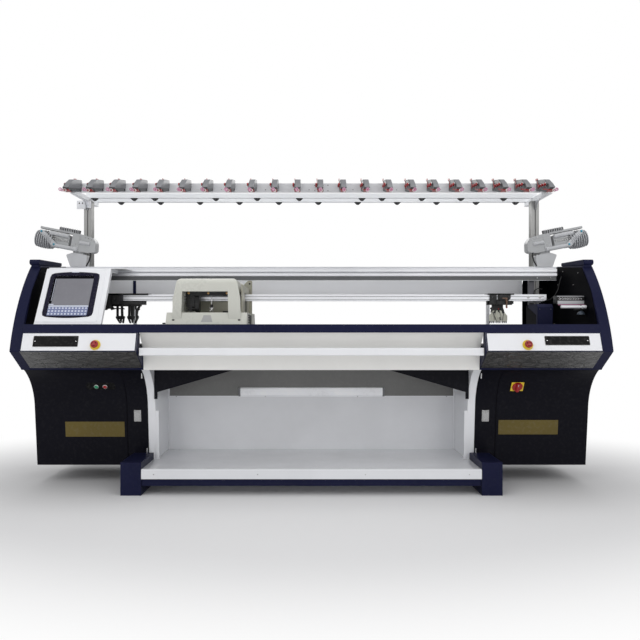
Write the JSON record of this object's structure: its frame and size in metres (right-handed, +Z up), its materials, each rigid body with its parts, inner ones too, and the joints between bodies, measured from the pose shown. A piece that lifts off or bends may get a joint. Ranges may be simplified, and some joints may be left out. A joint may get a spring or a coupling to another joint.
{
  "type": "flat knitting machine",
  "caption": "Two-bed flat knitting machine on a cabinet base, with sliding carriage, yarn frame and control panel.",
  "frame": {"origin": "on the floor under the middle of the machine", "axes": "+X along the needle beds to the operator's right, +Y to the rear, +Z up"},
  "size_m": [3.374, 0.9198, 1.874],
  "materials": {
    "navy_paint": "gloss paint",
    "white_paint": "gloss paint",
    "grey_paint": "satin paint",
    "cream_plastic": "moulded",
    "dark_film": "glossy film",
    "aluminium": "anodised",
    "steel": "ground",
    "chrome": "polished",
    "black_plastic": "moulded",
    "grey_plastic": "moulded",
    "red_plastic": "moulded",
    "green_plastic": "moulded",
    "screen_glass": "screen",
    "rubber": "rubber",
    "white_light": "diffuser"
  },
  "bodies": {
    "machine": {"base_frame": "navy_paint", "tray": "white_paint", "bay_walls": "white_paint", "bay_rear_panels": "white_paint", "bay_light": "white_light", "bay_gussets": "navy_paint", "cabinet_left": "navy_paint", "cabinet_right": "navy_paint", "control_plates": "steel", "console_left": "navy_paint", "console_right": "navy_paint", "strip_panels": "white_paint", "skirts": "dark_film", "side_plates": "navy_paint", "front_beam": "navy_paint", "front_cover": "cream_plastic", "bed_support": "grey_paint", "needle_bed_front": "steel", "needle_bed_rear": "steel", "needles": "steel", "carriage_rails": "steel", "top_beam": "aluminium", "columns": "steel", "carrier_rails": "aluminium", "rear_panel": "white_paint", "posts": "aluminium", "gantry_bars": "aluminium", "gantry_plate": "white_paint", "thread_eyelets": "black_plastic", "tension_unit_bodies": "grey_plastic", "tension_controls": "red_plastic", "tension_rings": "grey_plastic", "storage_feeder_left": "grey_plastic", "storage_feeder_right": "grey_plastic", "control_panel_case": "white_paint", "display_bezel": "navy_paint", "screen_and_keypad": "screen_glass", "drive_belt": "rubber", "drive_motor": "black_plastic"},
    "carriage": {"carriage_cam_boxes": "white_paint", "carriage_bow": "cream_plastic", "carriage_side_plates": "steel"},
    "left_yarn_carrier": {"yarn_carrier_left": "black_plastic"},
    "right_yarn_carrier": {"yarn_carrier_right": "black_plastic"},
    "start_bar": {"operating_bar": "cream_plastic"},
    "left_stop": {"stop_button_left": "red_plastic"},
    "right_stop": {"stop_button_right": "red_plastic"},
    "start_button": {"green_button": "green_plastic"},
    "halt_button": {"red_button": "red_plastic"},
    "power_switch": {"main_switch": "red_plastic"},
    "left_door": {"service_door_left": "navy_paint"},
    "right_door": {"service_door_right": "navy_paint"},
    "left_latch": {"door_latch_left": "chrome"},
    "right_latch": {"door_latch_right": "chrome"},
    "front_roller": {"takedown_roller_front": "rubber"},
    "rear_roller": {"takedown_roller_rear": "rubber"},
    "left_wheel": {"storage_wheel_left": "grey_plastic"},
    "right_wheel": {"storage_wheel_right": "grey_plastic"},
    "left_pulley": {"belt_pulley_left": "aluminium"},
    "right_pulley": {"belt_pulley_right": "aluminium"}
  },
  "joints": [
    {"name": "carriage_slide", "type": "slide", "parent": "machine", "child": "carriage", "axis": [1, 0, 0], "range_m": [-0.3, 1.5]},
    {"name": "left_carrier_slide", "type": "slide", "parent": "machine", "child": "left_yarn_carrier", "axis": [1, 0, 0], "range_m": [-0.08, 1]},
    {"name": "right_carrier_slide", "type": "slide", "parent": "machine", "child": "right_yarn_carrier", "axis": [1, 0, 0], "range_m": [-1, 0.11]},
    {"name": "start_bar_tilt", "type": "hinge", "parent": "machine", "child": "start_bar", "pos_m": [0, -0.35, 0.8035], "axis": [1, 0, 0], "range_deg": [-15, 15], "stiffness_Nm_per_rad": 60},
    {"name": "left_stop_press", "type": "slide", "parent": "machine", "child": "left_stop", "axis": [0, 0.9411, -0.3381], "range_m": [0, 0.0055], "stiffness_N_per_m": 600},
    {"name": "right_stop_press", "type": "slide", "parent": "machine", "child": "right_stop", "axis": [0, 0.9411, -0.3381], "range_m": [0, 0.0055], "stiffness_N_per_m": 600},
    {"name": "start_button_press", "type": "slide", "parent": "machine", "child": "start_button", "axis": [0, 0.8553, 0.5182], "range_m": [0, 0.003], "stiffness_N_per_m": 500},
    {"name": "halt_button_press", "type": "slide", "parent": "machine", "child": "halt_button", "axis": [0, 0.8553, 0.5182], "range_m": [0, 0.003], "stiffness_N_per_m": 500},
    {"name": "power_switch_turn", "type": "hinge", "parent": "machine", "child": "power_switch", "pos_m": [1.212, -0.16079, 0.591], "axis": [0, -0.8553, -0.5182], "range_deg": [0, 90]},
    {"name": "left_door_open", "type": "hinge", "parent": "machine", "child": "left_door", "pos_m": [-1.038, -0.08958, 0.191], "axis": [1, 0, 0], "range_deg": [0, 60]},
    {"name": "left_latch_lift", "type": "hinge", "parent": "left_door", "child": "left_latch", "pos_m": [-1.038, -0.11658, 0.446], "axis": [-1, 0, 0], "range_deg": [0, 70]},
    {"name": "right_door_open", "type": "hinge", "parent": "machine", "child": "right_door", "pos_m": [1.038, -0.08958, 0.191], "axis": [1, 0, 0], "range_deg": [0, 60]},
    {"name": "right_latch_lift", "type": "hinge", "parent": "right_door", "child": "right_latch", "pos_m": [1.038, -0.11658, 0.446], "axis": [-1, 0, 0], "range_deg": [0, 70]},
    {"name": "front_roller_spin", "type": "hinge", "parent": "machine", "child": "front_roller", "pos_m": [0, -0.037, 0.735], "axis": [1, 0, 0], "continuous": true},
    {"name": "rear_roller_spin", "type": "hinge", "parent": "machine", "child": "rear_roller", "pos_m": [0, -0.003, 0.735], "axis": [1, 0, 0], "continuous": true},
    {"name": "right_wheel_spin", "type": "hinge", "parent": "machine", "child": "right_wheel", "pos_m": [1.424, -0.007, 1.437], "axis": [0.9816, 0, 0.1908], "continuous": true},
    {"name": "left_wheel_spin", "type": "hinge", "parent": "machine", "child": "left_wheel", "pos_m": [-1.424, -0.007, 1.437], "axis": [-0.9816, 0, 0.1908], "continuous": true},
    {"name": "left_pulley_spin", "type": "hinge", "parent": "machine", "child": "left_pulley", "pos_m": [-1.29, 0.293, 0.85], "axis": [0, 1, 0], "range_deg": [-344, 1720]},
    {"name": "right_pulley_spin", "type": "hinge", "parent": "machine", "child": "right_pulley", "pos_m": [1.29, 0.293, 0.85], "axis": [0, 1, 0], "range_deg": [-344, 1720]}
  ],
  "couplings": [
    {"joint": "rear_roller_spin", "follows": "front_roller_spin", "ratio": -1},
    {"joint": "left_pulley_spin", "follows": "carriage_slide", "rad_per_m": 20},
    {"joint": "right_pulley_spin", "follows": "carriage_slide", "rad_per_m": 20}
  ]
}
